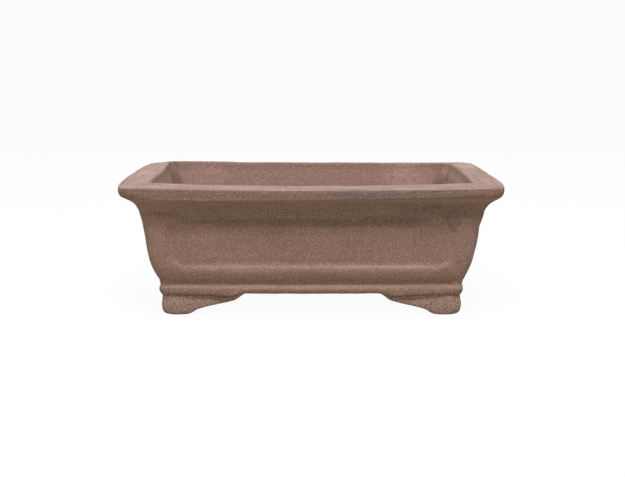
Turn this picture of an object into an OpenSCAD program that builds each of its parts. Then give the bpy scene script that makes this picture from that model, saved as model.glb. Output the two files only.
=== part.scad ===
// Unglazed rectangular bonsai pot with a wide lip, recessed panels, a belt and four cloud feet.
// It is drawn as the clay members that are luted together before firing: floor, walls, lip, belt and feet.
// Millimetres, +Z up, front towards -Y, origin on the table under the middle of the pot.

/* [Overall] */
// Length over the lip, at the middle of the short sides
length = 204; // [190:1:230]
// Depth over the lip, at the middle of the long sides
depth = 130; // [120:1:150]
// Height from the table to the inner edge of the lip
height = 73; // [68:1:80]

/* [Lip] */
// Width of the lip, from its outer edge to the opening
lip_w = 16; // [14:0.5:18]
// Height of the lip's upright edge
lip_edge = 4; // [3:0.5:5]
// Height of the whole lip moulding, from the crease under its cove to its top
lip_h = 15; // [13:0.5:16]
// How much lower the lip's outer edge is than its inner edge
lip_fall = 1.5; // [0:0.1:2]
// How far each side of the lip bows out in its middle
lip_bow = 2; // [0.5:0.1:3]
// Sag of the front lip in its middle
lip_sag = 1.5; // [0:0.1:2]
// Plan radius of the lip's corners
lip_corner_r = 9; // [7:0.5:11]
// Plan radius of the opening's corners
opening_r = 4; // [3:0.5:6]

/* [Walls] */
// Inset of the wall from the lip's edge, at the crease
wall_inset = 9.2; // [8:0.2:11]
// Inset of the base from the lip's edge
base_inset = 18.2; // [17:0.2:20]
// Wall thickness at the crease
wall_top_t = 11; // [8:0.5:12]
// Wall thickness above the inside fillet
wall_low_t = 8; // [6:0.5:9]
// Radius of the fillet between wall and floor
fillet_r = 5; // [3:0.5:6]
// Depth of the recessed panels
panel_d = 2.1; // [0.5:0.1:2.5]
// Distance of a panel's ends from the wall's ends, at mid height
panel_margin = 12.5; // [12:0.5:16]
// Height of the panels' lower edge above the floor's top
panel_low = 10; // [9:0.5:12]
// Distance of the panels' upper edge below the crease
panel_high = 6; // [4:0.5:7]

/* [Base] */
// Height of the feet
foot_h = 11.4; // [10:0.2:13]
// Thickness of the floor, which is also the belt's height
floor_t = 7; // [6:0.1:8]
// How far the belt stands out at its fullest
belt_bulge = 0.5; // [0.2:0.1:1]
// Width of the belt strip, from its face to the floor slab
belt_w = 4.5; // [4:0.5:6]
// Plan radius of the base's corners
base_corner_r = 6; // [5:0.5:8]
// Length of a foot's wing along the long side
foot_wing_x = 47; // [40:1:50]
// Length of a foot's wing along the short side
foot_wing_y = 29; // [26:1:32]
// Length of the pad that touches the table
pad_l = 14.5; // [12:0.5:16]
// Thickness of a foot from its face to its back
foot_t = 11; // [9:0.5:12]

/* [Drainage] */
// Radius of the two drain holes
drain_r = 9; // [6:0.5:11]
// Distance between the drain holes' centres
drain_gap = 76; // [60:1:90]
// Radius of the four holes for tie wires
wire_r = 2.2; // [1.5:0.1:3]
// Distance between the wire holes along the long side
wire_gap_x = 34; // [28:1:44]
// Distance between the wire holes along the short side
wire_gap_y = 50; // [40:1:54]

/* [Hidden] */
$fn = 48;

clay = [0.52, 0.40, 0.35];
lip_clay = [0.62, 0.51, 0.46];
foot_clay = [0.49, 0.38, 0.33];

// Sides of the pot: 0 front, 1 right, 2 back, 3 left.
FRONT = 0;
RIGHT = 1;
BACK = 2;
LEFT = 3;

half_x = length / 2 - lip_bow;    // lip's half length at its corners
half_y = depth / 2 - lip_bow;     // lip's half depth at its corners
floor_top = foot_h + floor_t;     // also the top of the belt and the bottom of the walls
crease_z = height - lip_h;        // where the lip moulding sits on the walls
cove_top = height - lip_fall - lip_edge;
wall_h = crease_z - floor_top;
mid_z = floor_top + wall_h / 2;
base_bow = 0.6;                   // how far the base bows out in the middle of each side
opening_bow = 0.4;                // the same for the opening and the inside of the walls
panel_edge = 3;                   // width of the slope round a panel
panel_corner = 8;                 // radius of a panel's corners
arc_steps = 4;                    // steps from the end of a side to the mitre
belt_back = base_inset + belt_w;  // inset of the joint between belt and floor slab

// A value that eases from 0 to 1 as t does.
function ease(t) = let (u = max(0, min(1, t))) u * u * (3 - 2 * u);

function mix(a, b, t) = a + (b - a) * t;

// 0 at the crease, 1 at the foot of the wall.
function down(z) = (crease_z - z) / wall_h;

// Inset of the wall's outer face at height z: a steady flare that turns in faster near the base.
function outer_inset(z) =
    let (t = down(z), turn = 0.28)
    mix(wall_inset, base_inset, (1 - turn) * t + turn * pow(t, 5));

// Inset of the wall's inner face, which ends in a quarter-round fillet on the floor.
function inner_inset(z) =
    let (
        t = down(z),
        face = outer_inset(z) + mix(wall_top_t, wall_low_t, min(1, 2 * t)) - 0.6 * pow(t, 5),
        over = fillet_r - (z - floor_top)
    )
    face + (over <= 0 ? 0 : fillet_r - sqrt(max(0, fillet_r * fillet_r - over * over)));

// Plan radii and bow at height z.
function outer_r(z) = mix(base_corner_r, lip_corner_r, (z - floor_top) / (height - floor_top));
function inner_r(z) = mix(opening_r, opening_r + 4, min(1, 2 * max(0, height - z) / height));
function bow_at(z) = mix(base_bow, lip_bow, min(1, (z - floor_top) / (cove_top - floor_top)));

// A side's outline is one long shallow arc that runs tangent into an arc of radius r at each corner.
// along and out are the corner arc's centre; these give the long arc's radius, and where it ends.
function long_r(along, r, bow) = (pow(r + bow, 2) + along * along - r * r) / (2 * bow);
function turn_at(along, r, bow) = asin(along / (long_r(along, r, bow) - r));
function side_end(along, r, bow) = let (b = long_r(along, r, bow)) b * along / (b - r);

// [distance along the side, distance out from the pot's middle] at x on the long arc.
function long_point(along, out, r, bow, x) =
    let (b = long_r(along, r, bow)) [x, out + r + bow - b + sqrt(b * b - x * x)];

// The same on the corner arc, from its start at t = 0 to the mitre at t = 1.
function corner_point(along, out, r, bow, t) =
    let (a = mix(turn_at(along, r, bow), 45, t)) [along + r * sin(a), out + r * cos(a)];

// Which half size runs along a side, and which one out of it.
function is_long(side) = side == FRONT || side == BACK;
function half_along(side) = is_long(side) ? half_x : half_y;
function half_out(side) = is_long(side) ? half_y : half_x;

// Turns [along, out, z] on a side into a point of the pot. Along runs anticlockwise seen from above.
function place(side, p) =
    side == FRONT ? [p[0], -p[1], p[2]] :
    side == RIGHT ? [p[1], p[0], p[2]] :
    side == BACK ? [-p[0], p[1], p[2]] :
    [-p[1], -p[0], p[2]];

// Column c of a side counts from -last to last. The first ones each way are at the fractions flats of
// the long arc's half length, and the rest share out the corner arc.
function column(side, c, flats, inset, r, bow) =
    let (
        k = abs(c),
        along = half_along(side) - inset - r,
        out = half_out(side) - inset - r,
        n = len(flats),
        end = side_end(along, r, bow),
        q = k < n
            ? long_point(along, out, r, bow, flats[k] * end)
            : corner_point(along, out, r, bow, (k - n) / arc_steps)
    )
    [sign(c) * q[0], q[1]];

// ---- Walls ----

panel_z0 = floor_top + panel_low;
panel_z1 = crease_z - panel_high;

// Half length of a panel, and of the long arc that it is in, both at mid height.
function panel_half(side) = half_along(side) - outer_inset(mid_z) - panel_margin;
function flat_half(side) =
    let (r = outer_r(mid_z)) side_end(half_along(side) - outer_inset(mid_z) - r, r, bow_at(mid_z));

// Depth of the panel's recess at a place on a wall: full inside, easing to none over panel_edge.
function recess(side, x, z) =
    let (
        half_w = panel_half(side) - panel_corner,
        half_h = (panel_z1 - panel_z0) / 2 - panel_corner,
        dx = max(0, abs(x) - half_w),
        dz = max(0, abs(z - (panel_z0 + panel_z1) / 2) - half_h),
        past = norm([dx, dz]) - panel_corner
    )
    panel_d * (1 - ease(past / panel_edge + 0.5));

// Distances from a side's middle of a wall's columns at mid height, closest at the panel's end.
function wall_flats(side) =
    let (w = panel_half(side))
    [0, 0.25 * w, 0.5 * w, w - 12, w - 8, w - 4.5, w - 1.5, w, w + 1.5];

// Heights above the floor of the rows of points up a wall, outside and inside, as many of each.
panel_top = wall_h - panel_high;
outer_rows = [
    0, 2.2, 4.5, 6.8, panel_low - 1.5, panel_low, panel_low + 1.5, panel_low + 5,
    panel_top - 5, panel_top - 1.5, panel_top, panel_top + 1.5, wall_h
];
inner_rows = concat(
    [for (t = [0, 0.06, 0.2, 0.4, 0.65]) t * fillet_r],
    [for (t = [0, 0.08, 0.18, 0.3, 0.44, 0.6, 0.8, 1]) mix(fillet_r, wall_h, t)]
);

function wall_column(side, c, inset, r, bow) =
    column(side, c, wall_flats(side) / flat_half(side), inset, r, bow);

function wall_outer(side, c, z) =
    let (
        q = wall_column(side, c, outer_inset(z), outer_r(z), bow_at(z)),
        flats = wall_flats(side),
        sunk = abs(c) < len(flats) ? recess(side, flats[abs(c)], z) : 0
    )
    place(side, [q[0], q[1] - sunk, z]);

function wall_inner(side, c, z) =
    let (q = wall_column(side, c, inner_inset(z), inner_r(z), opening_bow)) place(side, [q[0], q[1], z]);

// Faces of the sides between n rings of m points each.
function ring_faces(n, m) = [
    for (i = [0 : n - 2]) for (j = [0 : m - 1])
        let (a = i * m + j, b = i * m + (j + 1) % m, c = b + m, d = a + m)
        each [[a, b, c], [a, c, d]]
];

// A closed solid through rings of points. Each end cap is ruled between point j and point m - 1 - j.
module skin(rings) {
    n = len(rings);
    m = len(rings[0]);
    last = (n - 1) * m;
    cap = [
        for (j = [0 : m / 2 - 2])
            let (a = j, b = j + 1, c = m - 2 - j, d = m - 1 - j)
            each [[a, b, c], [a, c, d]]
    ];
    polyhedron(
        points = [for (ring = rings) each ring],
        faces = concat(
            ring_faces(n, m),
            [for (f = cap) [f[2], f[1], f[0]]],
            [for (f = cap) [f[0] + last, f[1] + last, f[2] + last]]
        )
    );
}

module wall(side) {
    last = len(wall_flats(side)) + arc_steps;
    rings = [
        for (c = [-last : last]) concat(
            [for (z = outer_rows) wall_outer(side, c, floor_top + z)],
            [for (i = [len(inner_rows) - 1 : -1 : 0]) wall_inner(side, c, floor_top + inner_rows[i])]
        )
    ];
    color(clay) skin(rings);
}

// ---- Lip ----

// Inset of the lip's underside at height z, from the crease out to the upright edge.
function cove_inset(z) =
    let (u = (z - crease_z) / (cove_top - crease_z))
    mix(wall_inset, 0.3, 0.8 * pow(u, 1.5) + 0.2 * ease(u));

// The lip's section as [inset, height], outside going up and then inside going down.
lip_out = [
    for (u = [0, 0.17, 0.34, 0.52, 0.7, 0.86, 1])
        let (z = mix(crease_z, cove_top, u)) [cove_inset(z), z],
    [0, cove_top + 1.5],
    [0, height - lip_fall - 1.2],
    [0.4, height - lip_fall - 0.4],
    [1.2, height - lip_fall]
];
lip_in = [
    [inner_inset(crease_z), crease_z],
    [mix(inner_inset(crease_z), lip_w, 0.4), mix(crease_z, height, 0.35)],
    [mix(inner_inset(crease_z), lip_w, 0.8), mix(crease_z, height, 0.7)],
    [lip_w, height - 0.7],
    [lip_w - 0.2, height - 0.2],
    [lip_w - 0.8, height],
    for (w = [0.64, 0.46, 0.34, 0.24, 0.16]) [lip_w * w, height - lip_fall * (1 - w)]
];
lip_flats = [0, 0.18, 0.36, 0.53, 0.7, 0.86];

function lip_point(side, c, s, r, bow) =
    let (
        q = column(side, c, lip_flats, s[0], r, bow),
        share = (s[1] - crease_z) / lip_h,
        across = q[0] / (half_along(side) - s[0] - r * (1 - sqrt(0.5))),
        sag = side == FRONT ? lip_sag * share * (1 - across * across) : 0
    )
    place(side, [q[0], q[1], s[1] - sag]);

module lip(side) {
    last = len(lip_flats) + arc_steps;
    inner_side = [for (i = [len(lip_in) - 1 : -1 : 0]) lip_in[i]];
    rings = [
        for (c = [-last : last]) concat(
            [for (s = lip_out) lip_point(side, c, s, outer_r(s[1]), bow_at(s[1]))],
            [for (s = inner_side) lip_point(side, c, s, lip_in_r(s), lip_in_bow(s))]
        )
    ];
    color(lip_clay) skin(rings);
}

// Across the top of the lip the plan radius and the bow ease from the outer edge's to the opening's.
function lip_in_r(s) = s[0] > lip_w * 0.9 ? inner_r(s[1]) : mix(lip_corner_r, opening_r, s[0] / lip_w);
function lip_in_bow(s) = mix(lip_bow, opening_bow, min(1, s[0] / lip_w));

// ---- Belt and floor ----

belt_full = foot_h + 0.6 * floor_t;
belt_out = [
    for (u = [0, 0.06, 0.2, 0.4, 0.6, 0.8, 1])
        let (z = foot_h + u * floor_t, k = (z - belt_full) / floor_t)
        [base_inset - belt_bulge + 3.2 * k * k + (u == 0 ? 0.4 : 0), z]
];
belt_flats = [0, 0.25, 0.5, 0.75];

function belt_point(side, c, s, r) =
    let (q = column(side, c, belt_flats, s[0], r, base_bow)) place(side, [q[0], q[1], s[1]]);

module belt(side) {
    last = len(belt_flats) + arc_steps;
    n = len(belt_out);
    rings = [
        for (c = [-last : last]) concat(
            [for (s = belt_out) belt_point(side, c, s, base_corner_r)],
            [for (i = [n - 1 : -1 : 0]) belt_point(side, c, [belt_back, belt_out[i][1]], slab_r)]
        )
    ];
    color(clay) skin(rings);
}

slab_r = base_corner_r - 2;

// The floor slab's outline meets the back of the belt all round.
slab_outline = [
    for (side = [FRONT, RIGHT, BACK, LEFT])
        let (last = len(belt_flats) + arc_steps)
        for (c = [-last : last - 1])
            let (p = belt_point(side, c, [belt_back, 0], slab_r)) [p[0], p[1]]
];

module floor_slab() {
    color(clay) translate([0, 0, foot_h]) difference() {
        linear_extrude(height = floor_t) polygon(slab_outline);
        for (x = [-1, 1]) {
            translate([x * drain_gap / 2, 0, -1]) cylinder(r = drain_r, h = floor_t + 2);
            for (y = [-1, 1])
                translate([x * wire_gap_x / 2, y * wire_gap_y / 2, -1])
                    cylinder(r = wire_r, h = floor_t + 2);
        }
    }
}

// ---- Feet ----

foot_inset = base_inset + 0.6;

// A foot's upright section as [distance in from its face, height]: a soft bulge over a rounded toe.
toe_r = 2.4;
function toe_in(z) = z < toe_r ? toe_r - sqrt(toe_r * toe_r - pow(toe_r - z, 2)) : 0;
function bulge_in(z) = 0.35 * pow((z - 0.45 * foot_h) / (0.55 * foot_h), 2);
foot_section = concat(
    [for (z = [0, 0.15, 0.5, 1.1, 1.8, 2.4, 4.5, 6.5, 8.5, 10, foot_h]) [toe_in(z) + bulge_in(z), z]],
    [[foot_t, foot_h], [foot_t, 0]]
);

// The cloud outline of a wing seen square on, from the pad to the wing's tip: a curl, then a sweep.
function cloud(wing) =
    let (curl = 4, curl_h = 3.5)
    concat(
        [for (t = [0 : 0.125 : 1]) [pad_l + curl * t, curl_h * (1 - pow(1 - t, 2))]],
        [
            for (t = [0.1 : 0.1 : 1])
                [mix(pad_l + curl, wing, t), mix(curl_h, foot_h - 0.3, 0.6 * t + 0.4 * ease(t * t))]
        ]
    );

// One wing of a foot, which runs along +X with its face at y = 0 and its back at y = foot_t.
module foot_wing(wing) {
    intersection() {
        translate([base_corner_r, 0, 0]) rotate([90, 0, 90])
            linear_extrude(height = wing - base_corner_r) polygon(foot_section);
        translate([0, foot_t + 1, 0]) rotate([90, 0, 0]) linear_extrude(height = foot_t + 2)
            polygon(concat([[0, 0]], cloud(wing), [[wing, foot_h], [0, foot_h]]));
    }
}

// The foot of the corner at the origin, which fills the quarter x > 0, y > 0.
module foot_shape() {
    foot_wing(foot_wing_x);
    mirror([1, -1, 0]) foot_wing(foot_wing_y);
    translate([base_corner_r, base_corner_r, 0]) rotate([0, 0, 180]) rotate_extrude(angle = 90)
        polygon(concat(
            [[0, 0]],
            [for (s = foot_section) if (s[0] < foot_t) [base_corner_r - s[0], s[1]]],
            [[0, foot_h]]
        ));
}

module foot(x, y) {
    color(foot_clay) mirror([x > 0 ? 1 : 0, 0, 0]) mirror([0, y > 0 ? 1 : 0, 0])
        translate([foot_inset - half_x, foot_inset - half_y, 0]) foot_shape();
}

floor_slab();
wall(FRONT);  // front_wall
wall(BACK);  // back_wall
wall(LEFT);  // left_wall
wall(RIGHT);  // right_wall
lip(FRONT);  // front_lip
lip(BACK);  // back_lip
lip(LEFT);  // left_lip
lip(RIGHT);  // right_lip
belt(FRONT);  // front_belt
belt(BACK);  // back_belt
belt(LEFT);  // left_belt
belt(RIGHT);  // right_belt
foot(-1, -1);  // foot_front_left
foot(1, -1);  // foot_front_right
foot(-1, 1);  // foot_back_left
foot(1, 1);  // foot_back_right
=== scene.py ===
import math

import bpy
import numpy as np
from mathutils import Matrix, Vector, noise


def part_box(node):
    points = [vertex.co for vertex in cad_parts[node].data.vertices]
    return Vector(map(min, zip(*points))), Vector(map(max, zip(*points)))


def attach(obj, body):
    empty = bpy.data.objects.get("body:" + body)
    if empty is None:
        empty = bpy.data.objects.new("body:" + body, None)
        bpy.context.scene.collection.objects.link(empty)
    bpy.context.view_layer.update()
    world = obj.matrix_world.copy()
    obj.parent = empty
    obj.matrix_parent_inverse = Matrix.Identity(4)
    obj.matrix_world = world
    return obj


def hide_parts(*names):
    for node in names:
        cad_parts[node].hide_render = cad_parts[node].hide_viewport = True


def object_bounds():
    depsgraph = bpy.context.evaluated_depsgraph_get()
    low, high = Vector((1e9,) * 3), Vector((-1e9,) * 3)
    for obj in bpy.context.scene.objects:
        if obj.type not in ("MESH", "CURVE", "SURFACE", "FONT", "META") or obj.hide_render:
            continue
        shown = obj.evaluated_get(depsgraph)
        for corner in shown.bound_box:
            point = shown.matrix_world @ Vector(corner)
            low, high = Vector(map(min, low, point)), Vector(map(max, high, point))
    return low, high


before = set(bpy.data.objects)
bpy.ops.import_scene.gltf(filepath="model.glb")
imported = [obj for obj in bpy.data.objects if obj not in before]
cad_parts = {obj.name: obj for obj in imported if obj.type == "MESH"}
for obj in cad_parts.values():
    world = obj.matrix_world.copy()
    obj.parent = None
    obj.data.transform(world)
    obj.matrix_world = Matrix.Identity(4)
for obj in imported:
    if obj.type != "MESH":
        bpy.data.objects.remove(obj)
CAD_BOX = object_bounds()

# The visual model of the bonsai pot. The walls, lips, belts and feet are made again as worn,
# handmade stoneware, and the floor slab keeps its CAD mesh.
# Lengths are in millimetres. The limits in the shaders, the paper and the lights are in metres.

# ---- Driving sizes, from the CAD frame ----

MM = 0.001
LOW, HIGH = (np.array(corner) / MM for corner in CAD_BOX)
SLAB_LOW, SLAB_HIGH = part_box("floor_slab")
FOOT_LOW, FOOT_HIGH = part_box("foot_front_left")
LIP_BOW = 2.0  # how far each side of the lip bows out in plan
BASE_BOW = 0.6
OPENING_BOW = 0.4
SLAB_LAP = 0.3  # how far the belts run in past the floor slab's edge
HALF = ((HIGH[0] - LOW[0]) / 2 - LIP_BOW, (HIGH[1] - LOW[1]) / 2 - LIP_BOW)
TOP = HIGH[2]
FLOOR_LOW = SLAB_LOW[2] / MM
FLOOR_TOP = SLAB_HIGH[2] / MM
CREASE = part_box("front_wall")[1][2] / MM
SLAB_INSET = HALF[0] - SLAB_HIGH[0] / MM - BASE_BOW + SLAB_LAP
WING = [(FOOT_HIGH[i] - FOOT_LOW[i]) / MM for i in (0, 1)]

SIDES = ("front", "right", "back", "left")
COLUMN_STEP = 1.0  # spacing of the mesh along a side
noise.seed_set(1)  # without a seed, the noise below differs from run to run

# ---- Curves ----


def smooth(t):
    t = np.clip(t, 0.0, 1.0)
    return t * t * (3 - 2 * t)


def fade(value, start, end):
    """0 at start, 1 at end, eased."""
    return smooth((value - start) / (end - start))


def plateau(value, start, full, fall, end):
    """0 up to start, 1 from full to fall, 0 again from end."""
    return fade(value, start, full) * (1 - fade(value, fall, end))


def hump(value, middle, width):
    """1 in the middle, falling away over about width either side."""
    return np.exp(-(((value - middle) / width) ** 2))


def dome(value, half_width):
    """1 at 0, falling to 0 at half_width either side, as a parabola."""
    return np.clip(1 - (value / half_width) ** 2, 0, 1)


def curve(keys, step):
    """Points about step apart on a smooth curve through the key points."""
    keys = np.array(keys, float)
    ends = np.vstack([2 * keys[0] - keys[1], keys, 2 * keys[-1] - keys[-2]])
    points = []
    for i in range(1, len(ends) - 2):
        a, b, c, d = ends[i - 1 : i + 3]
        tangent_b = (c - a) / max(np.linalg.norm(c - a), 1e-6)
        tangent_c = (d - b) / max(np.linalg.norm(d - b), 1e-6)
        span = np.linalg.norm(c - b)
        n = max(1, round(span / step))
        for t in np.arange(n) / n:
            h = t * t * (3 - 2 * t)
            pull = t * (1 - t) ** 2 * tangent_b - t * t * (1 - t) * tangent_c
            points.append(b * (1 - h) + c * h + span * pull)
    points.append(keys[-1])
    return np.array(points)


# ---- The section of the pot, as [inset from the lip's corner line, height] ----

BELT_FOOT = (20.3, 11.45)
NECK = (18.35, FLOOR_TOP)
OUTER_CREASE = (9.2, CREASE)
INNER_CREASE = (20.1, CREASE)

UNDERSIDE = curve([(SLAB_INSET, FLOOR_LOW), (21.8, FLOOR_LOW), BELT_FOOT], 1.0)
BELT_FACE = curve(
    [
        BELT_FOOT, (19.2, 11.7), (18.35, 12.2), (17.85, 12.95), (17.65, 13.8), (17.75, 14.75),
        (18.05, 15.5), (18.5, 16.25), (18.85, 16.85), (18.85, 17.5), NECK,
    ],
    0.5,
)
WALL_FACE = curve(
    [
        NECK, (18.0, 19.0), (17.2, 20.3), (16.25, 22.4), (14.95, 25.6), (13.85, 29.0),
        (12.8, 34.0), (11.85, 41.0), (11.0, 47.5), (10.2, 53.0), (9.55, 56.4), OUTER_CREASE,
    ],
    0.9,
)
LIP_FACE = curve(
    [
        OUTER_CREASE, (8.5, 59.4), (7.6, 61.0), (6.2, 62.6), (4.4, 64.0), (2.7, 65.1), (1.2, 66.2),
        (0.45, 67.3), (0.1, 68.8), (0.05, 70.6), (0.15, 71.2), (0.55, 71.5), (1.8, 71.63), (6.0, 72.0),
        (11.0, 72.5), (14.9, 72.9), (15.6, 72.75), (16.0, 72.2), (16.4, 70.5), (18.2, 64.5), INNER_CREASE,
    ],
    0.65,
)
WALL_INSIDE = curve(
    [
        INNER_CREASE, (20.5, 54.0), (20.6, 46.0), (21.0, 38.0), (22.1, 30.0), (23.6, 25.6),
        (25.4, 22.2), (27.6, 19.8), (30.5, 18.65), (33.0, FLOOR_TOP),
    ],
    1.3,
)
SECTION_PARTS = (UNDERSIDE, BELT_FACE, WALL_FACE, LIP_FACE, WALL_INSIDE)
SECTION = np.vstack([part[:-1] for part in SECTION_PARTS] + [WALL_INSIDE[-1:]])
INSET, RISE = SECTION.T
ROW = np.arange(len(SECTION))
PART_ENDS = np.cumsum([len(part) - 1 for part in SECTION_PARTS])
BELT_ROW, NECK_ROW, OUTER_ROW, INNER_ROW, FLOOR_ROW = PART_ENDS

# What the rows of the section belong to.
PAST_CREASE = ROW > OUTER_ROW
LIP_FLAT = PAST_CREASE & (RISE > 71.0)
INSIDE_FACE = PAST_CREASE & (INSET > 15.0)
LIP_EDGE = PAST_CREASE & (INSET < 6.0) & (RISE < 70.0)
PANEL_ROWS = (ROW >= NECK_ROW) & (ROW <= OUTER_ROW)
COVE = (ROW > NECK_ROW) & (INSET < 11.5) & (RISE < 63.0)

BASE_RADIUS, LIP_RADIUS, OPENING_RADIUS, INSIDE_RADIUS = 6.0, 9.0, 2.5, 9.0
SLAB_RADIUS = BASE_RADIUS - 2
COVE_TOP = 67.5  # where the sides are bowed out in full


def row_radius():
    """Corner radius in plan of each row of the section."""
    outer = BASE_RADIUS + (LIP_RADIUS - BASE_RADIUS) * (RISE - FLOOR_TOP) / (TOP - FLOOR_TOP)
    inner = OPENING_RADIUS + (INSIDE_RADIUS - OPENING_RADIUS) * fade(TOP - RISE, 0.0, 11.0)
    flat = LIP_RADIUS + (OPENING_RADIUS - LIP_RADIUS) * fade(INSET, 1.0, 15.0)
    radius = np.where(LIP_FLAT, flat, np.where(INSIDE_FACE, inner, outer))
    radius[:BELT_ROW] = np.linspace(SLAB_RADIUS, BASE_RADIUS, BELT_ROW)
    return radius


def row_bow():
    """How far each row of the section bows out in plan."""
    climb = np.clip((RISE - FLOOR_TOP) / (COVE_TOP - FLOOR_TOP), 0, 1)
    bow = BASE_BOW + (LIP_BOW - BASE_BOW) * climb
    bow = np.where(LIP_FLAT, bow + (OPENING_BOW - bow) * fade(INSET, 2.0, 15.0), bow)
    return np.where(INSIDE_FACE, OPENING_BOW, bow)


RADIUS = row_radius()
BOW = row_bow()

# ---- Plan: one long shallow arc a side, tangent to an arc at each corner ----

ARC_STEPS = 12


def side_columns(side):
    """Positions along a side: -1 to 1 on the long arc, beyond that on the corner arcs, to -2 and 2."""
    count = round(HALF[side % 2] * 0.8 / COLUMN_STEP)
    flat = np.linspace(-1, 1, 2 * count + 1)
    arc = np.arange(1, ARC_STEPS + 1) / ARC_STEPS
    return np.concatenate([-1 - arc[::-1], flat, 1 + arc])


def place(side, along, out):
    """Turns distances along a side and out from the middle into x and y."""
    return ((along, -out), (out, along), (-along, out), (-out, -along))[side]


def side_plan(side, columns, inset, radius, bow):
    """Distance along and out for each row (inset, radius, bow) and column."""
    inset, radius, bow = (np.asarray(v, float)[:, None] for v in (inset, radius, bow))
    along_c = HALF[side % 2] - inset - radius
    out_c = HALF[1 - side % 2] - inset - radius
    big = ((radius + bow) ** 2 + along_c**2 - radius**2) / (2 * bow)
    start = np.arcsin(along_c / (big - radius))
    end = big * along_c / (big - radius)
    flat = np.clip(columns, -1, 1)[None, :] * end
    flat_out = out_c + radius + bow - big + np.sqrt(big**2 - flat**2)
    turn = start + (math.pi / 4 - start) * np.clip(np.abs(columns) - 1, 0, 1)[None, :]
    on_arc = (np.abs(columns) > 1)[None, :]
    along = np.where(on_arc, np.sign(columns) * (along_c + radius * np.sin(turn)), flat)
    out = np.where(on_arc, out_c + radius * np.cos(turn), flat_out)
    return along, out


# ---- Details of each side ----

PANEL_LOW, PANEL_HIGH = 27.5, 51.9
PANEL_DEPTH = 2.1
PANEL_MARGIN = 12.5  # from the panel's end to the end of the wall at mid height
PANEL_CORNER = 7.0
MID_INSET = 13.4  # the wall's inset at mid height
LEDGE_WIDTH, UPPER_WIDTH = 5.2, 2.0  # of the slopes below and above the panel

BELT_INSET = 18.8
BELT_LOW, BELT_ARCH = 11.6, 12.3  # heights of its lower edge at a corner and between the feet
BELT_DROP = 1.9  # how far that edge dips over a wing
BELT_NOTCH = 0.25  # how much higher it is beside the front left foot
WING_SHARE = 0.78  # the part of a foot's wing over which the belt dips
CORNER_DROP = 0.8  # how much lower the belt reaches at a corner

EDGE_BEAD = 0.75  # fullness low on the lip's upright edge
CORNER_BULGE, CORNER_PINCH = 0.95, 0.75  # at the corners, in the neck and on the belt
LINE_DEPTH = 0.55  # of the line drawn under the cove near the corners


def recess(side, along, z, inset):
    """Depth of the soft-edged panel, whose ends slant with the wall."""
    half = HALF[side % 2] - MID_INSET - PANEL_MARGIN
    half_height = (PANEL_HIGH - PANEL_LOW) / 2
    slant = along * (HALF[side % 2] - MID_INSET) / (HALF[side % 2] - inset)
    dx = np.maximum(0, np.abs(slant) - (half - PANEL_CORNER))
    dz = np.maximum(0, np.abs(z - (PANEL_LOW + PANEL_HIGH) / 2) - (half_height - PANEL_CORNER))
    past = np.hypot(dx, dz) - PANEL_CORNER
    width = LEDGE_WIDTH + (UPPER_WIDTH - LEDGE_WIDTH) * fade(z, 42.0, 50.0)
    return PANEL_DEPTH * (1 - smooth(past / width + 0.5))


def belt_low(side, along):
    """Height of the belt's lower edge: it dips over each foot and rises between them."""
    from_corner = (HALF[side % 2] - BELT_INSET - np.abs(along)) / WING[side % 2]
    dip = BELT_LOW - BELT_DROP * np.clip(from_corner / WING_SHARE, 0, 1)
    notch = BELT_NOTCH * hump(from_corner, 1.2, 0.15) * ((side == 0) & (along < 0))
    return dip + (BELT_ARCH - dip) * fade(from_corner, WING_SHARE, 1.0) + notch


def only(rows, values):
    """The values on some rows of the section, and 0 on the others."""
    return np.where(rows[:, None], values, 0)


def side_grid(side):
    """The true pot's surface on one side, from corner to corner, as [row, column, xyz]."""
    half = HALF[side % 2]
    columns = side_columns(side)[:-1]
    along, out = side_plan(side, columns, INSET, RADIUS, BOW)
    z = np.repeat(RISE[:, None], len(columns), 1)
    from_middle = np.abs(along)
    turning = fade(np.abs(columns), 0.93, 1.5)

    out = out - only(PANEL_ROWS, recess(side, along, z, INSET[:, None]))
    bead = hump(z, 66.2, 0.95) * (1 - fade(from_middle, half - 30, half - 8))
    out = out + only(LIP_EDGE, EDGE_BEAD * bead)
    bulge = CORNER_BULGE * hump(z, 17.5, 1.3) - CORNER_PINCH * hump(z, 13.2, 1.1)
    out = out + only(~PAST_CREASE, bulge * turning)
    line = hump(z, 57.2, 1.1) * fade(from_middle, half - 40, half - 24)
    out = out - only(COVE, LINE_DEPTH * line * (1 - fade(np.abs(columns), 0.97, 1.25)))

    stretch = (FLOOR_TOP - belt_low(side, along) + CORNER_DROP * turning) / (FLOOR_TOP - BELT_FOOT[1])
    lowered = FLOOR_TOP - (FLOOR_TOP - z) * stretch
    past_slab = fade(SLAB_INSET - INSET, 0.0, 2.0)[:, None]
    z = z + only(ROW <= NECK_ROW, (lowered - z) * past_slab)
    x, y = place(side, along, out)
    return np.dstack([x, y, z])


# ---- Hand-made shape, as functions of place ----

FRONT_SAG, INNER_SAG = 0.9, 1.0  # of the front lip, and how much more at its inner edge
COVE_TILT = 0.012  # rise of the front cove along x
BELT_DIP, BELT_LIFT = 0.55, 0.40  # of the front belt in the middle, and at its right
BACK_LIFT = 1.0  # of the back lip's left end
BACK_RIPPLE, BACK_RIGHT_LIFT = 0.15, 0.3  # of the back lip's middle and its right end
MOUTH_SPREAD = 0.9  # how much longer the opening is at each end
BACK_LEFT_SPREAD = 1.6  # how much further left the opening's back left corner is
RIGHT_LEAN, LEFT_LEAN = 1.6, 0.4  # how far the inside of the ends comes in under the rim
LEFT_BULGE, LEFT_SHOULDER = 1.25, 0.4  # outwards, of the left lip's middle and its front half
RIGHT_BULGE, RIGHT_SHOULDER = 0.55, 0.6  # the same on the right lip
RIGHT_HOLLOW = 1.0  # inwards, of the right lip's back half
LIP_RISE = (60.0, 69.0)  # heights over which what bends the lip sets in
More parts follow.
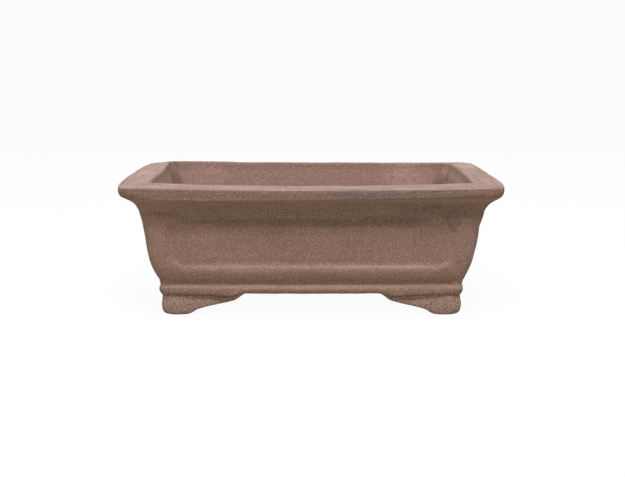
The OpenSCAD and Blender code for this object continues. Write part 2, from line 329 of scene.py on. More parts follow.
RIGHT_COVE, RIGHT_WALL, RIGHT_BELT, RIGHT_FOOT = 1.1, 0.25, 0.5, 0.4  # on the right end's outline
LEFT_COVE, LEFT_WALL = 0.1, 0.15  # on the left end's outline
WAVES = (  # height, length and a shift that keeps the three apart
    (0.26, 34.0, (0, 0, 0)),
    (0.15, 9.0, (7, 3, 5)),
    (0.07, 3.2, (2, 9, 4)),
)
PAD_HEIGHT = 4.0  # the waviness fades below this, so that the feet stay flat on the table


def lift(x, y, z):
    """How far each point is raised."""
    lip = fade(z, *LIP_RISE)
    front = fade(-y, 25.0, 45.0)
    inner = fade(np.minimum(HALF[0] - np.abs(x), HALF[1] - np.abs(y)), 1.0, 14.0)
    sag = lip * front * dome(x, 98.0) * (FRONT_SAG + INNER_SAG * inner)
    cove = plateau(z, 50.0, 57.0, 66.0, 70.0) * (1 - fade(np.abs(x), 80.0, 94.0))
    tilt = COVE_TILT * x * cove * fade(-y, 30.0, 45.0)
    dip = BELT_DIP * dome(x, 60.0) - BELT_LIFT * fade(x, 45.0, 65.0)
    belt = front * hump(z, 17.0, 1.6) * dip
    left_end = BACK_LIFT * fade(-x, 32.0, 66.0) * (1 - 0.55 * fade(-x, 80.0, 95.0))
    ripple = BACK_RIPPLE * (fade(x, -45.0, -25.0) - fade(x, -22.0, 5.0))
    right_end = BACK_RIGHT_LIFT * fade(x, 74.0, 88.0)
    back = lip * fade(y, 20.0, 50.0) * (left_end + ripple + right_end)
    return tilt + back - sag - belt


def mouth_shift(x, y, z):
    """How far the opening's ends are pushed along x."""
    mouth = fade(z, 50.0, 62.0) * plateau(np.abs(x), 55.0, 80.0, 86.0, 95.0)
    mouth = mouth * fade(HALF[1] - np.abs(y), 8.0, 15.0)
    spread = MOUTH_SPREAD * np.sign(x)
    back_left = BACK_LEFT_SPREAD * fade(y, 0.0, 40.0) * (x < 0)
    lean = fade(72.5 - z, 0.0, 9.0) * np.where(x > 0, RIGHT_LEAN, -LEFT_LEAN)
    return mouth * (spread - back_left - lean)


def end_lip_shift(x, y, z):
    """How far the two end lips are pushed along x."""
    lip = fade(z, *LIP_RISE)
    left, right = fade(-x, 88.0, 97.0), fade(x, 88.0, 97.0)
    bulge = dome(y, 58.0) * (RIGHT_BULGE * right - LEFT_BULGE * left)
    shoulder = hump(y, -36.0, 14.0)
    right_shape = RIGHT_SHOULDER * shoulder - RIGHT_HOLLOW * hump(y, 14.0, 30.0)
    return lip * (bulge + right * right_shape - left * LEFT_SHOULDER * shoulder)


def end_wall_shift(x, z):
    """How far the outlines of the two ends, under the lip, are pushed along x."""
    left, right = fade(-x, 78.0, 86.0), fade(x, 78.0, 86.0)
    cove = plateau(z, 48.0, 56.0, 63.0, 67.0)
    upper_wall, lower_wall = plateau(z, 34.0, 42.0, 44.0, 50.0), plateau(z, 18.0, 22.0, 32.0, 38.0)
    belt, foot = hump(z, 13.9, 1.3), hump(z, 6.5, 3.0)
    right_push = RIGHT_COVE * cove + RIGHT_WALL * (upper_wall - lower_wall)
    right_push = right_push - RIGHT_BELT * belt + RIGHT_FOOT * foot
    left_push = LEFT_COVE * cove + LEFT_WALL * plateau(z, 30.0, 38.0, 58.0, 63.0)
    return right * right_push - left * left_push


def wander(point):
    """The slight waviness at a point."""
    push = Vector((0, 0, 0))
    for height, length, offset in WAVES:
        push += height * noise.noise_vector(Vector(point) / length + Vector(offset))
    return push


def settle(points):
    """Sag, twist and waviness of a pot made by hand. Takes and returns an array of [x, y, z]."""
    x, y, z = points[..., 0], points[..., 1], points[..., 2]
    moved = points.copy()
    moved[..., 0] += mouth_shift(x, y, z) + end_lip_shift(x, y, z) + end_wall_shift(x, z)
    moved[..., 2] += lift(x, y, z)
    flat = moved.reshape(-1, 3)
    grip = np.clip(flat[:, 2] / PAD_HEIGHT, 0, 1)
    push = np.array([wander(point) for point in flat])
    return (flat + push * grip[:, None]).reshape(moved.shape)


# ---- Meshes ----


def grid_normals(points, wrap):
    """Unit normals of a grid of points [row, column, xyz], looking along row x column."""
    if wrap:
        across = np.roll(points, -1, 1) - np.roll(points, 1, 1)
    else:
        across = np.gradient(points, axis=1)
    up = np.gradient(points, axis=0)
    n = np.cross(across, up)
    return n / np.maximum(np.linalg.norm(n, axis=2, keepdims=True), 1e-12)


def make_object(name, points, faces, corner_normals, material):
    """A smooth object from points in millimetres and a normal for each corner of each face."""
    mesh = bpy.data.meshes.new(name)
    mesh.from_pydata([tuple(p * MM) for p in points], [], faces)
    mesh.update()
    mesh.polygons.foreach_set("use_smooth", [True] * len(mesh.polygons))
    mesh.normals_split_custom_set([tuple(n) for face in corner_normals for n in face])
    mesh.materials.append(material)
    obj = bpy.data.objects.new(name, mesh)
    bpy.context.scene.collection.objects.link(obj)
    return obj


def loft(name, loops, normals, hidden, material):
    """A closed solid through loops [loop, point, xyz], with its two ends capped.
    hidden[k] says that the strip from point k to k + 1 is an inside joint, which is shaded flat."""
    count, m = loops.shape[:2]
    faces, corners = [], []

    def index(i, j):
        return i * m + j % m

    for i in range(count - 1):
        for j in range(m):
            quad = [(i, j), (i + 1, j), (i + 1, (j + 1) % m), (i, (j + 1) % m)]
            faces.append([index(a, b) for a, b in quad])
            if hidden[j]:
                p = [loops[a, b] for a, b in quad]
                n = np.cross(p[1] - p[3], p[2] - p[0])
                corners.append([n / max(np.linalg.norm(n), 1e-12)] * 4)
            else:
                corners.append([normals[a, b] for a, b in quad])
    for i, order in ((0, range(m)), (count - 1, range(m - 1, -1, -1))):
        faces.append([index(i, j) for j in order])
        ring = loops[i]
        n = sum(np.cross(ring[j] - ring[0], ring[(j + 1) % m] - ring[0]) for j in range(m))
        n = n / np.linalg.norm(n)
        corners.append([n if i == 0 else -n] * m)
    return make_object(name, loops.reshape(-1, 3), faces, corners, material)


def finish_piece(obj, node):
    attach(obj, "root")
    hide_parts(node)


# ---- Shader helpers ----


class Nodes:
    """Short ways to add shader nodes to a material or a world."""

    def __init__(self, material):
        material.use_nodes = True
        self.tree = material.node_tree
        self.tree.nodes.clear()

    def add(self, kind, inputs=(), **settings):
        node = self.tree.nodes.new(kind)
        for key, value in settings.items():
            setattr(node, key, value)
        for key, value in dict(inputs).items():
            if isinstance(value, bpy.types.NodeSocket):
                self.tree.links.new(value, node.inputs[key])
            else:
                node.inputs[key].default_value = value
        return node

    def split(self, vector):
        """The X, Y and Z of a vector."""
        node = self.add("ShaderNodeSeparateXYZ", {"Vector": vector})
        return [node.outputs[axis] for axis in "XYZ"]

    def math(self, operation, a, b=0.0, c=0.0):
        return self.add("ShaderNodeMath", {0: a, 1: b, 2: c}, operation=operation).outputs[0]

    def times(self, first, *others):
        for other in others:
            first = self.math("MULTIPLY", first, other)
        return first

    def minus(self, a, b):
        return self.math("SUBTRACT", a, b)

    def times_plus(self, a, b, c):
        """a x b + c"""
        return self.math("MULTIPLY_ADD", a, b, c)

    def ramp(self, value, low, high, start=0.0, end=1.0):
        """Value mapped smoothly from low..high to start..end."""
        node = self.add(
            "ShaderNodeMapRange",
            {"Value": value, "From Min": low, "From Max": high, "To Min": start, "To Max": end},
            interpolation_type="SMOOTHSTEP",
        )
        return node.outputs["Result"]

    def band(self, value, start, full, fall, end, after=0.0):
        """0 up to start, 1 from full to fall, after from end."""
        return self.times(self.ramp(value, start, full), self.ramp(value, fall, end, 1.0, after))

    def noise(self, vector, size, detail=2.0, roughness=0.5):
        """Noise whose lumps are about size millimetres."""
        node = self.add(
            "ShaderNodeTexNoise",
            {"Vector": vector, "Scale": 1 / (size * MM), "Detail": detail, "Roughness": roughness},
        )
        return node.outputs["Fac"]

    def blend(self, factor, a, b):
        """Colour a where factor is 0, colour b where it is 1."""
        return self.add("ShaderNodeMix", {0: factor, 6: a, 7: b}, data_type="RGBA").outputs[2]

    def spot(self, axes, centre, radius):
        """1 at centre, falling to 0 at an elliptical distance of radius, both in millimetres."""
        total = 0.0
        for axis, c, r in zip(axes, centre, radius):
            distance = self.times_plus(axis, 1 / (r * MM), -c / r)
            total = self.times_plus(distance, distance, total)
        return self.ramp(total, 0.0, 1.0, 1.0, 0.0)


def rgb(r, g, b):
    return (r, g, b, 1.0)


# ---- Stoneware: a chain of functions, each of which lays one kind of mark over the base colour ----

# Clay
BROWN_DARK = rgb(0.276, 0.151, 0.101)
BROWN_LIGHT = rgb(0.328, 0.182, 0.126)
BROWN_MOTTLE = rgb(0.385, 0.232, 0.176)
BROWN_LOW = rgb(0.258, 0.136, 0.102)
BROWN_PANEL = rgb(0.205, 0.112, 0.075)
PURPLE = rgb(0.275, 0.152, 0.130)
PURPLE_END = rgb(0.262, 0.172, 0.122)
PURPLE_RIM = rgb(0.185, 0.105, 0.086)
# Lip
LIP_EDGE_BROWN = rgb(0.172, 0.098, 0.079)
RUBBED_DARK = rgb(0.232, 0.147, 0.124)
RUBBED_PALE = rgb(0.448, 0.320, 0.278)
RUBBED_WORN = rgb(0.260, 0.165, 0.137)
SCUFF = rgb(0.080, 0.050, 0.042)
# Wear that also paints highlights, a cove stain that also paints shade, and painted shade
WORN_CLAY_AND_HIGHLIGHT = rgb(0.640, 0.450, 0.368)
OLIVE = rgb(0.168, 0.108, 0.060)
PANEL_EDGE_SHADOW = rgb(0.135, 0.083, 0.050)
NECK_SHADE = rgb(0.185, 0.102, 0.066)
CREASE_SHADE = rgb(0.095, 0.056, 0.034)
CORNER_SHADE = rgb(0.125, 0.052, 0.036)
BELT_LOW_SHADE = rgb(0.190, 0.108, 0.072)
GROOVE_SHADE = rgb(0.085, 0.048, 0.032)
PAD_SHADE = rgb(0.075, 0.055, 0.040)
# Grains
FINE_DARK = rgb(0.10, 0.055, 0.040)
FINE_PALE = rgb(0.66, 0.50, 0.42)
GROG = rgb(0.62, 0.47, 0.39)
PIT = rgb(0.065, 0.038, 0.028)

GROG_SIZE = 0.85
BUMP_HEIGHT = 0.45

# Smudges and one patch of painted light. Colour, strength, centre and radii in millimetres.
SMUDGES_AND_LIGHT_PATCHES = (
    # grey smear on the front lip's edge
    (rgb(0.125, 0.098, 0.084), 1.00, (29.0, -63.0, 68.7), (30.0, 5.0, 3.4)),
    # red tint on the edge, at the front right corner
    (rgb(0.240, 0.095, 0.078), 1.00, (96.0, -59.0, 69.4), (13.0, 10.0, 4.0)),
    # pale grey on the wall's right corner, and lower down on the belt's
    (rgb(0.300, 0.240, 0.190), 0.70, (86.0, -48.0, 37.0), (6.0, 12.0, 6.0)),
    (rgb(0.340, 0.280, 0.230), 0.60, (81.0, -44.0, 17.0), (6.0, 12.0, 6.0)),
    # dark stains under the right half of the cove
    (rgb(0.110, 0.078, 0.045), 0.80, (40.0, -54.0, 53.5), (26.0, 6.0, 3.2)),
    (rgb(0.120, 0.085, 0.050), 0.80, (62.0, -57.0, 61.0), (26.0, 8.0, 3.2)),
    (rgb(0.110, 0.080, 0.050), 0.75, (74.0, -54.0, 54.5), (7.5, 9.0, 7.0)),
    # greyer wall at the right
    (rgb(0.200, 0.135, 0.102), 0.45, (84.0, -50.0, 44.0), (12.0, 14.0, 24.0)),
    # olive patch in the left half of the cove
    (rgb(0.200, 0.150, 0.090), 0.60, (-28.0, -57.0, 60.5), (20.0, 8.0, 5.0)),
    # painted light at the upper left of the front wall, lifting the shade on the panel's left slope
    (rgb(0.420, 0.250, 0.185), 0.55, (-62.0, -52.0, 45.0), (20.0, 10.0, 8.0)),
    # paler left lip, darker right of the front lip, paler back of the right lip
    (rgb(0.400, 0.305, 0.255), 0.50, (-94.0, 5.0, 73.0), (11.0, 60.0, 5.0)),
    (rgb(0.225, 0.160, 0.135), 0.40, (70.0, -54.0, 72.0), (50.0, 10.0, 4.0)),
    (rgb(0.430, 0.350, 0.280), 0.50, (92.0, 36.0, 73.0), (10.0, 26.0, 5.0)),
    # pinker clay inside the back wall, at the left
    (rgb(0.480, 0.290, 0.250), 0.45, (-64.0, 46.0, 64.0), (16.0, 8.0, 12.0)),
    # dull arris at the left of the front lip
    (rgb(0.200, 0.125, 0.105), 0.60, (-74.0, -65.0, 71.8), (34.0, 4.0, 2.0)),
    # pinker clay inside the back wall, at the right
    (rgb(0.480, 0.290, 0.250), 0.60, (58.0, 46.0, 65.0), (20.0, 8.0, 12.0)),
)


class Point:
    """Shader values for a point of the pot: where it is, which way it faces, and shared noise."""

    def __init__(self, n):
        self.where = n.add("ShaderNodeTexCoord").outputs["Object"]
        self.x, self.y, self.z = n.split(self.where)
        self.facing_up = n.split(n.add("ShaderNodeNewGeometry").outputs["Normal"])[2]
        self.across = n.math("ABSOLUTE", self.x)
        self.deep = n.math("ABSOLUTE", self.y)

        # Inside the pot or outside. The walls flare, so the limits move out with height.
        flare = n.ramp(self.z, 0.030, 0.060, 0.0, 0.0053)
        inside_deep = n.ramp(n.minus(self.deep, flare), 0.0441, 0.0418)
        inside_across = n.ramp(n.minus(self.across, flare), 0.0811, 0.0788)
        self.inside = n.times(inside_deep, inside_across)
        self.outside = n.minus(1.0, self.inside)

        # Places squeezed along x on the long sides and along y on the ends, for drawn-out marks.
        self.on_end = n.ramp(n.minus(self.across, self.deep), 0.0345, 0.0355)
        long_side, end = (0.12, 1.0, 1.0), (1.0, 0.12, 1.0)
        squeeze = n.add("ShaderNodeMix", {0: self.on_end, 4: long_side, 5: end}, data_type="VECTOR")
        squeezed = {0: self.where, 1: squeeze.outputs[1]}
        self.along = n.add("ShaderNodeVectorMath", squeezed, operation="MULTIPLY").outputs[0]
        self.patchy = n.ramp(n.noise(self.where, 4.0, 3.0, 0.6), 0.38, 0.60)
        self.drawn = n.ramp(n.noise(self.along, 5.0, 3.0, 0.6), 0.36, 0.62)
        self.streak = n.ramp(n.noise(self.along, 3.2, 4.0, 0.72), 0.34, 0.68)

        self.lip_flat = n.times(n.ramp(self.facing_up, 0.72, 0.95), n.ramp(self.z, 0.066, 0.069))
        # The cove under the lip: an olive stain, made darker so that it also paints the shade under the
        # overhang.
        cove = n.times(n.band(self.z, 0.0525, 0.057, 0.0630, 0.0655), self.outside)
        cove_stain_and_shade = n.times(cove, n.ramp(self.drawn, 0.0, 1.0, 0.50, 0.85))
        self.cove_stain_and_shade = n.times(cove_stain_and_shade, n.ramp(self.x, -0.080, -0.045, 0.45, 1.0))


def plain_clay(n, at):
    """Brown clay, clouded and mottled."""
    cloud = n.ramp(n.noise(at.where, 26.0, 3.0, 0.55), 0.35, 0.68)
    base = n.blend(cloud, BROWN_DARK, BROWN_LIGHT)
    mottle = n.ramp(n.noise(at.where, 3.6, 3.0, 0.6), 0.36, 0.66)
    return n.blend(n.times(mottle, 0.30), base, BROWN_MOTTLE)


def lip_tint(n, at, base):
    """The lip's upright edge is darker. Its flat is rubbed paler and pinker, in streaks."""
    edge = n.times(n.ramp(at.z, 0.0645, 0.067), at.outside)
    base = n.blend(n.times(edge, 0.9), base, LIP_EDGE_BROWN)
    rubbed = n.blend(at.streak, RUBBED_DARK, RUBBED_PALE)
    worn = n.ramp(n.noise(at.where, 22.0, 2.0), 0.40, 0.62)
    rubbed = n.blend(n.times(worn, 0.6), rubbed, RUBBED_WORN)
    return n.blend(n.times(at.lip_flat, 0.88), base, rubbed)


def lip_scuffs(n, at, base):
    """Dark scuffs along the lip's outer arris, which follow the front lip's sag."""
    sag = n.times_plus(n.times(at.x, at.x), -0.094, 0.0009)
    height = n.times_plus(sag, n.ramp(at.y, -0.045, -0.055), at.z)
    arris = n.times(n.band(height, 0.0699, 0.0704, 0.0710, 0.0714), at.outside)
    broken = n.ramp(n.noise(at.along, 1.6, 3.0, 0.6), 0.38, 0.55)
    scuff = n.times(arris, broken, n.ramp(at.across, 0.035, 0.058))
    return n.blend(n.times(scuff, 0.9), base, SCUFF)


def shaded_clay(n, at, base):
    """The clay is a little darker and redder low down, and in the middle of the panel."""
    base = n.blend(n.ramp(at.z, 0.0300, 0.0240, 0.0, 0.55), base, BROWN_LOW)
    panel = n.times(n.band(at.z, 0.0285, 0.0305, 0.0400, 0.0460), at.outside)
    return n.blend(n.times(panel, 0.30), base, BROWN_PANEL)


def past_panel(n, at):
    """Distance below and beyond the panel's flat, round its lower corners."""
    beyond_side = n.times(n.minus(at.across, 0.067), n.minus(1.0, at.on_end))
    beyond = n.times_plus(n.minus(at.deep, 0.0321), at.on_end, beyond_side)
    beyond = n.math("MAXIMUM", beyond, 0.0)
    below = n.math("MAXIMUM", n.minus(0.0345, at.z), 0.0)
    return n.math("SQRT", n.times_plus(beyond, beyond, n.times(below, below)))


def pale_wear_and_painted_highlight(n, at, base):
    """Pale worn bands along the ledge under the panel, fainter at its ends, and along the belt, which
    also paint the highlights there.
    """
    past = past_panel(n, at)
    ledge = n.band(past, 0.0058, 0.0067, 0.0071, 0.0080, after=0.25)
    ledge = n.times(ledge, n.ramp(past, 0.0095, 0.0120, 1.0, 0.0), n.ramp(at.z, 0.0340, 0.0295))
    ledge = n.times(ledge, n.ramp(at.x, 0.058, 0.067, 0.48, 0.10))
    ledge = n.times(ledge, n.ramp(at.x, -0.067, -0.058, 0.30, 1.0))
    bead = n.band(at.z, 0.0147, 0.0157, 0.0165, 0.0171)
    wear_and_highlight = n.times(n.times_plus(bead, 0.18, ledge), at.outside)
    wear_and_highlight = n.times(wear_and_highlight, n.ramp(at.drawn, 0.0, 1.0, 0.60, 1.0))
    return n.blend(wear_and_highlight, base, WORN_CLAY_AND_HIGHLIGHT)


def panel_edge_shadow(n, at, base):
    """Painted shade under the upper edge of the long sides' panels, where the step and the lip's overhang
    shade the wall.
    """
    line = n.times(n.band(at.z, 0.0486, 0.0512, 0.0532, 0.0552), at.outside)
    line = n.times(line, n.band(at.x, -0.077, -0.060, 0.045, 0.073), n.ramp(at.deep, 0.050, 0.052))
    line = n.times(line, n.ramp(at.drawn, 0.0, 1.0, 0.60, 0.95))
    return n.blend(line, base, PANEL_EDGE_SHADOW)


def neck_shade(n, at, base):
    """Painted shade in the neck above the belt, on the faces that don't face up."""
    neck = n.times(n.band(at.z, 0.0165, 0.0174, 0.0182, 0.0250), at.outside)
    neck = n.times(neck, n.ramp(at.facing_up, 0.55, 0.35))
    return n.blend(n.times(neck, 0.80), base, NECK_SHADE)


def crease_shade(n, at, base):
    """A dark line of painted shade in the crease under the left end of the cove."""
    seam = n.times(n.band(at.z, 0.0554, 0.0566, 0.0575, 0.0588), at.outside)
    seam = n.times(seam, n.ramp(at.x, -0.066, -0.074), n.ramp(at.x, -0.0880, -0.0835))
    return n.blend(n.times(seam, n.ramp(at.patchy, 0.0, 1.0, 0.4, 0.9)), base, CREASE_SHADE)


def inside_clay(n, at, base):
    """The inside is fired more purple, darker at the rim, with painted shade in its back corners."""
    within = n.times(at.inside, n.ramp(at.facing_up, 0.85, 0.70), n.ramp(at.z, 0.0172, 0.0182))
    fired = n.blend(n.ramp(at.across, 0.078, 0.082), PURPLE, PURPLE_END)
    base = n.blend(n.times(within, 0.75), base, fired)
    rim = n.times(within, n.ramp(at.z, 0.0670, 0.0705))
    base = n.blend(n.times(rim, 0.55), base, PURPLE_RIM)

    # The painted shade's edges lean out with the walls.
    left = n.ramp(n.times_plus(at.z, -0.30, n.times(at.x, -1.0)), 0.0595, 0.0615)
    left = n.times(left, n.ramp(at.y, 0.022, 0.038))
    right = n.ramp(n.times_plus(at.z, -0.445, at.x), 0.0463, 0.0480)
    right = n.times(right, n.ramp(at.y, 0.0250, 0.0400), n.ramp(at.z, 0.0710, 0.0620, 0.45, 1.0))
    corner = n.times(n.math("MAXIMUM", left, right), within, n.ramp(at.z, 0.026, 0.052))
    return n.blend(n.times(corner, 0.90), base, CORNER_SHADE)


def smudges_and_light_patches(n, at, base):
    """Soft-edged patches, made ragged by the noise."""
    smear = n.ramp(n.noise(at.along, 1.8, 3.0, 0.6), 0.40, 0.60)
    ragged = n.math("ADD", n.times(at.patchy, 0.5), n.times(smear, 0.5))
    ragged = n.ramp(ragged, 0.1, 0.8, 0.3, 1.0)
    for colour, strength, centre, radius in SMUDGES_AND_LIGHT_PATCHES:
        spot = n.times(n.spot((at.x, at.y, at.z), centre, radius), ragged)
        base = n.blend(n.times(spot, strength), base, colour)
    return base


def belt_and_groove_shade(n, at, base):
    """Painted shade on the lower half of the belt, and in the groove between it and the feet."""
    over_foot = n.ramp(at.across, 0.030, 0.045)
    low_belt = n.times(n.band(at.z, 0.0100, 0.0115, 0.0138, 0.0158), over_foot)
    base = n.blend(n.times(low_belt, 0.65), base, BELT_LOW_SHADE)
    groove = n.band(at.z, 0.0085, 0.0098, 0.0112, 0.0122)
    groove = n.times(groove, n.ramp(at.facing_up, -0.25, -0.70), over_foot)
    return n.blend(n.times(groove, 0.85), base, GROOVE_SHADE)


def grains(n, at, base, coarse):
    """Fine speckle, pale grog and dark pits. Returns the colour and the height of the surface."""
    voronoi = {"Vector": at.where, "Scale": 1 / (GROG_SIZE * MM), "Randomness": 1.0}
    cells = n.add("ShaderNodeTexVoronoi", voronoi).outputs
    pick = n.add("ShaderNodeSeparateColor", {"Color": cells["Color"]}).outputs
    core = n.ramp(cells["Distance"], 0.42, 0.20)
    pale = n.times(core, n.ramp(pick[0], 0.60 - 0.15 * coarse, 0.95))
    pit = n.times(core, n.ramp(pick[1], 0.80 - 0.35 * coarse, 0.97))
    fine = n.noise(at.where, 0.42, 1.0, 0.6)

    darker = n.blend(0.31 + 0.32 * coarse, base, FINE_DARK)
    paler = n.blend(0.20 + 0.24 * coarse, base, FINE_PALE)
    base = n.blend(n.ramp(fine, 0.36, 0.66), darker, paler)
    clean = n.times_plus(at.cove_stain_and_shade, -0.5, 0.56 + 0.40 * coarse)
    base = n.blend(n.times(pale, clean), base, GROG)
    base = n.blend(n.times(pit, 0.66 + 0.3 * coarse), base, PIT)

    height = n.times(fine, 0.16)
    height = n.times_plus(n.noise(at.where, 1.6, 3.0, 0.6), 0.30 + 0.25 * coarse, height)
    height = n.times_plus(pale, 0.10, height)
    height = n.times_plus(pit, -0.30 - 0.2 * coarse, height)
    return base, n.times_plus(n.times(at.lip_flat, at.streak), 0.12, height)


def pad_shade(n, at, base):
    """Painted shade round the bottom edge of the feet, where they meet the table."""
    darkening = n.times(n.ramp(at.z, 0.0022, 0.0), n.ramp(at.patchy, 0.0, 1.0, 0.3, 0.8))
    return n.blend(darkening, base, PAD_SHADE)


def stoneware(name, coarse):
    """Unglazed brown clay: pale grog, dark pits, clouded tint, rubbed arrises, smudge marks, a patch of
    painted light, and painted highlights and shade.
    coarse is how rough and pitted it is, 0 to 1."""
    material = bpy.data.materials.new(name)
    n = Nodes(material)
    at = Point(n)
    base = plain_clay(n, at)
    base = lip_tint(n, at, base)
    base = lip_scuffs(n, at, base)
    base = shaded_clay(n, at, base)
    # pale worn bands that also paint the highlights on the ledge and the belt's bead
    base = pale_wear_and_painted_highlight(n, at, base)
    # olive stain in the cove, which also paints the shade under the lip
    base = n.blend(at.cove_stain_and_shade, base, OLIVE)
    # painted shade under the panels' upper edge
    base = panel_edge_shadow(n, at, base)
    # painted shade in the neck above the belt
    base = neck_shade(n, at, base)
    # painted shade in the crease under the cove's left end
    base = crease_shade(n, at, base)
    # purple inside, with painted shade in its back corners
    base = inside_clay(n, at, base)
    # smudges, and a patch of painted light on the front wall
    base = smudges_and_light_patches(n, at, base)
    # painted shade low on the belt and in the groove above the feet
    base = belt_and_groove_shade(n, at, base)
    base, height = grains(n, at, base, coarse)
    # painted shade round the feet's bottom edge
    base = pad_shade(n, at, base)
    bump = n.add("ShaderNodeBump", {"Height": height, "Strength": 0.55, "Distance": BUMP_HEIGHT * MM})
    shader = n.add(
        "ShaderNodeBsdfPrincipled",
        {
            "Base Color": base,
            "Roughness": n.ramp(n.noise(at.where, 6.0, 2.0), 0.3, 0.7, 0.80, 0.94),
            "Normal": bump.outputs["Normal"],
            "Specular IOR Level": 0.30,
            "Diffuse Roughness": 0.6,
        },
    )
    n.add("ShaderNodeOutputMaterial", {"Surface": shader.outputs[0]})
    return material


BODY_CLAY = stoneware("body_stoneware", 0.15)
LIP_CLAY = stoneware("lip_stoneware", 0.10)
FOOT_CLAY = stoneware("foot_stoneware", 1.0)

# ---- Body: one grid all round, cut into walls, lips and belts ----

SIDE_GRIDS = [side_grid(side) for side in range(4)]
SIDE_STARTS = np.cumsum([0] + [part.shape[1] for part in SIDE_GRIDS])
GRID = settle(np.concatenate(SIDE_GRIDS, axis=1))
NORMALS = grid_normals(GRID, True)
BELT_BACK = (SLAB_INSET, FLOOR_TOP)


def body_piece(name, side, rows, joints, material, extra=None):
    """The part of the grid on one side, in the given rows. joints are the places in the loop after
    which a strip is an inside joint. extra is one more hidden row, as (inset, height)."""
    cols = np.arange(SIDE_STARTS[side], SIDE_STARTS[side + 1] + 1) % GRID.shape[1]
    loops = GRID[np.ix_(rows, cols)].transpose(1, 0, 2)
    shade = NORMALS[np.ix_(rows, cols)].transpose(1, 0, 2)
    if extra is not None:
        along, out = side_plan(side, side_columns(side), [extra[0]], [SLAB_RADIUS], [BASE_BOW])
        x, y = place(side, along[0], out[0])
        row = np.stack([x, y, np.full(len(x), extra[1])], 1)
        loops = np.concatenate([loops, row[:, None]], axis=1)
        shade = np.concatenate([shade, shade[:, -1:]], axis=1)
    hidden = [j in joints for j in range(loops.shape[1])]
    return loft(name, loops, shade, hidden, material)


def belt(side, where):
    rows = np.arange(0, NECK_ROW + 1)
    joints = {len(rows) - 1, len(rows)}
    piece = body_piece(f"{where}_belt_clay", side, rows, joints, BODY_CLAY, BELT_BACK)
    finish_piece(piece, f"{where}_belt")


def wall(side, where):
    outer = np.arange(NECK_ROW, OUTER_ROW + 1)
    inner = np.arange(INNER_ROW, FLOOR_ROW + 1)
    rows = np.concatenate([outer, inner])
    joints = {len(outer) - 1, len(rows) - 1}
    piece = body_piece(f"{where}_wall_clay", side, rows, joints, BODY_CLAY)
    finish_piece(piece, f"{where}_wall")


def lip(side, where):
    rows = np.arange(OUTER_ROW, INNER_ROW + 1)
    piece = body_piece(f"{where}_lip_clay", side, rows, {len(rows) - 1}, LIP_CLAY)
    finish_piece(piece, f"{where}_lip")


for side, where in enumerate(SIDES):
    belt(side, where)
    wall(side, where)
    lip(side, where)

# ---- Feet ----

FOOT_TOP = 12.3
FOOT_JOINT = FOOT_TOP + 0.15  # height at which a foot's section stops changing along its wings
FOOT_DEPTH = 11.0
FOOT_INSET = 18.75
FOOT_RADIUS = 6.5  # of the outer corner, in plan
FOOT_TOE = 1.0  # how much larger that radius is at the bottom
FOOT_INNER_RADIUS = 3.0
FOOT_INNER_TURN = 14.0  # distance round the corner over which the inner face turns
LEAN_NEAR, LEAN_FAR = 0.9, 1.4  # how far in the wings' outer faces draw, near the corner and beyond
SHORT_WING = 1.3  # how much sooner the front right foot's long wing rises

FOOT_OUTER = curve(
    [
        (2.4, FOOT_TOP), (0.9, 11.5), (0.45, 10.6), (0.35, 9.4), (0.15, 7.6), (-0.1, 5.6),
        (-0.08, 3.6), (0.1, 2.0), (0.5, 0.9), (1.1, 0.25), (2.0, 0.0),
    ],
    0.5,
)
FOOT_PAD = [[depth, 0.0] for depth in (3.4, 5.4, 7.6)]
FOOT_INNER = curve(
    [(FOOT_DEPTH - 1.6, 0.0), (FOOT_DEPTH - 0.4, 0.5), (FOOT_DEPTH, 1.8), (FOOT_DEPTH, FOOT_TOP)],
    0.8,
)
FOOT_SECTION = np.vstack([FOOT_OUTER, FOOT_PAD, FOOT_INNER])

# The lower edge of a wing, as [distance from the corner, height].
CLOUD_START, CLOUD_END = 12.8, 49.0
WING_LAP = 2.0  # how much longer the sweep is than the CAD foot
CLOUD = curve(
    [
        (CLOUD_START, 0.0), (14.6, 0.2), (16.8, 1.0), (19.2, 2.5), (23.0, 3.7), (28.0, 4.8),
        (33.0, 5.9), (37.6, 7.0), (40.4, 7.9), (42.6, 9.5), (45.0, 11.2), (47.2, 12.0), (49.5, 12.25),
    ],
    0.8,
)


def cloud_low(from_corner, wing):
    """Height of a wing's lower edge at a distance from the pot's corner."""
    stretch = (CLOUD_END - CLOUD_START) / (wing + WING_LAP - CLOUD_START)
    return np.interp(CLOUD_START + (from_corner - CLOUD_START) * stretch, CLOUD[:, 0], CLOUD[:, 1])


def foot_loop(s, wing, sooner):
    """A foot's section at a distance s round from the middle of its corner, in one wing, as
    [along, out, height]. sooner is how much further on its lower edge is taken from."""
    depth, rise = FOOT_SECTION.T
    share = np.clip(depth / FOOT_DEPTH, 0, 1)
    radius = (FOOT_RADIUS + FOOT_TOE * fade(rise, 4.5, 0.0)) * (1 - share) + FOOT_INNER_RADIUS * share
    outer_arc = FOOT_RADIUS * math.pi / 4
    bend = np.clip(s / (outer_arc * (1 - share) + FOOT_INNER_TURN * share), 0, 1)
    angle = math.pi / 4 * (1 - bend)
    reach = max(s - outer_arc + FOOT_RADIUS, 0.0)
    along = depth + radius - radius * np.sin(angle)
    along = np.where(bend >= 1, np.maximum(reach, along), along)
    out = np.where(bend >= 1, depth, depth + radius - radius * np.cos(angle))
    low = cloud_low(reach + sooner, wing) if s > outer_arc else 0.0
    z = low + rise * (FOOT_JOINT - low) / FOOT_JOINT
    lean = LEAN_NEAR * fade(s, 5.0, 16.0) + LEAN_FAR * fade(s, 16.0, wing)
    return np.stack([along, out + lean * (1 - depth / FOOT_DEPTH), z], 1)


